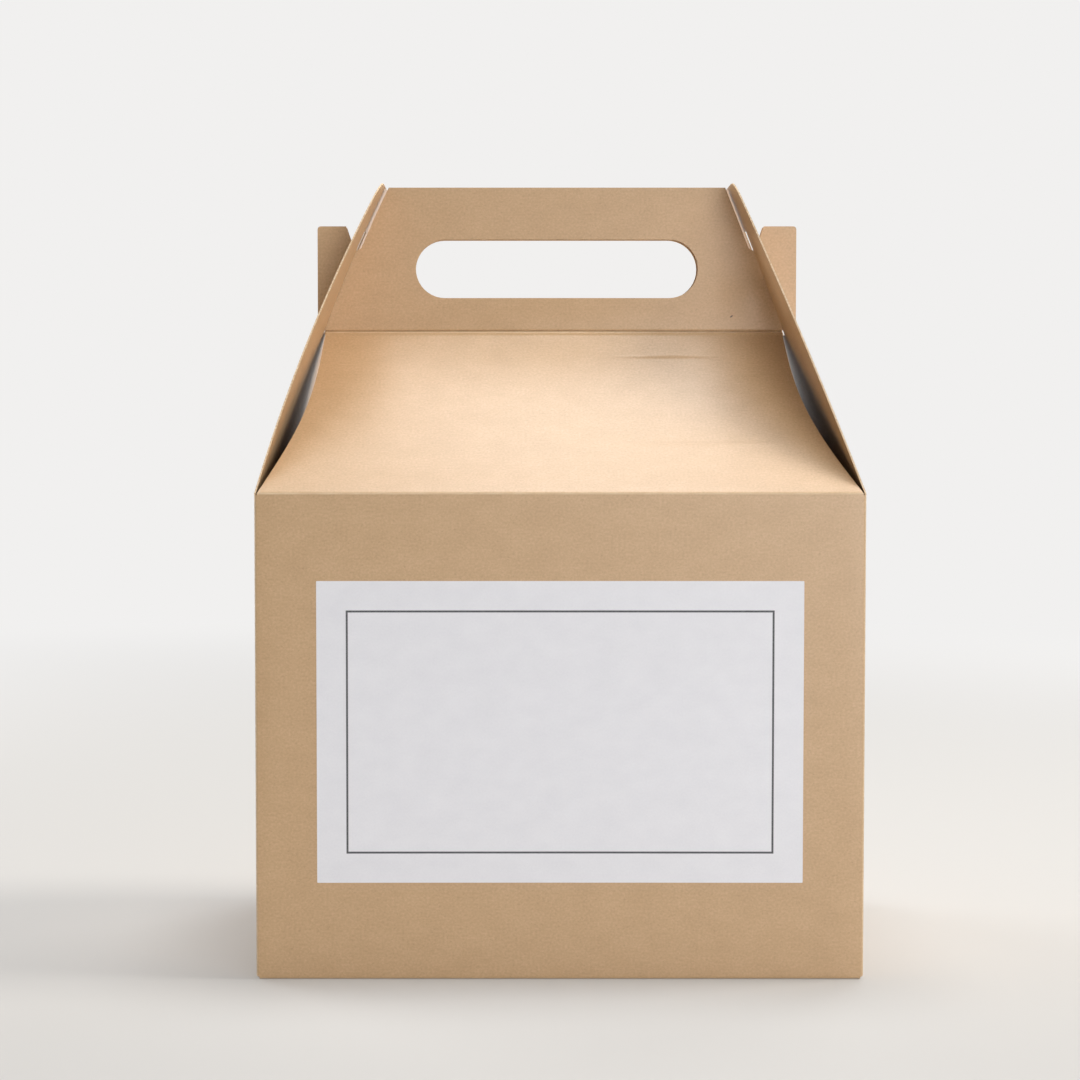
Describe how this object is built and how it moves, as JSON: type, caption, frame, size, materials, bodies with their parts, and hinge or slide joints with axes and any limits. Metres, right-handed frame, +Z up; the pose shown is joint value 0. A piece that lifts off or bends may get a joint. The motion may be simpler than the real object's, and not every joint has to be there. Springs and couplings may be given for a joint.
{
  "type": "gable box",
  "caption": "Folded kraft board carry box with a gable roof, an upright handle with a hand hole, hooked end flaps and a blank paper label.",
  "frame": {"origin": "middle of the bottom, on the surface that the box stands on", "axes": "+Z up, the front with the label faces -Y, +X to the right as seen from the front"},
  "size_m": [0.23, 0.1501, 0.307],
  "materials": {
    "kraft_board": "uncoated brown kraft board, matt, with fine fibre flecks",
    "label_paper": "smooth white label paper with a thin dark grey frame line"
  },
  "bodies": {
    "carton": {"carton": "kraft_board", "front_label": "label_paper"},
    "left_end_flap": {"left_end_flap": "kraft_board"},
    "right_end_flap": {"right_end_flap": "kraft_board"}
  },
  "joints": [
    {"name": "left_end_flap_hinge", "type": "hinge", "parent": "carton", "child": "left_end_flap", "pos_m": [-0.1147, 0, 0.184], "axis": [0, -1, 0], "range_deg": [0, 120]},
    {"name": "right_end_flap_hinge", "type": "hinge", "parent": "carton", "child": "right_end_flap", "pos_m": [0.1147, 0, 0.184], "axis": [0, 1, 0], "range_deg": [0, 120]}
  ]
}
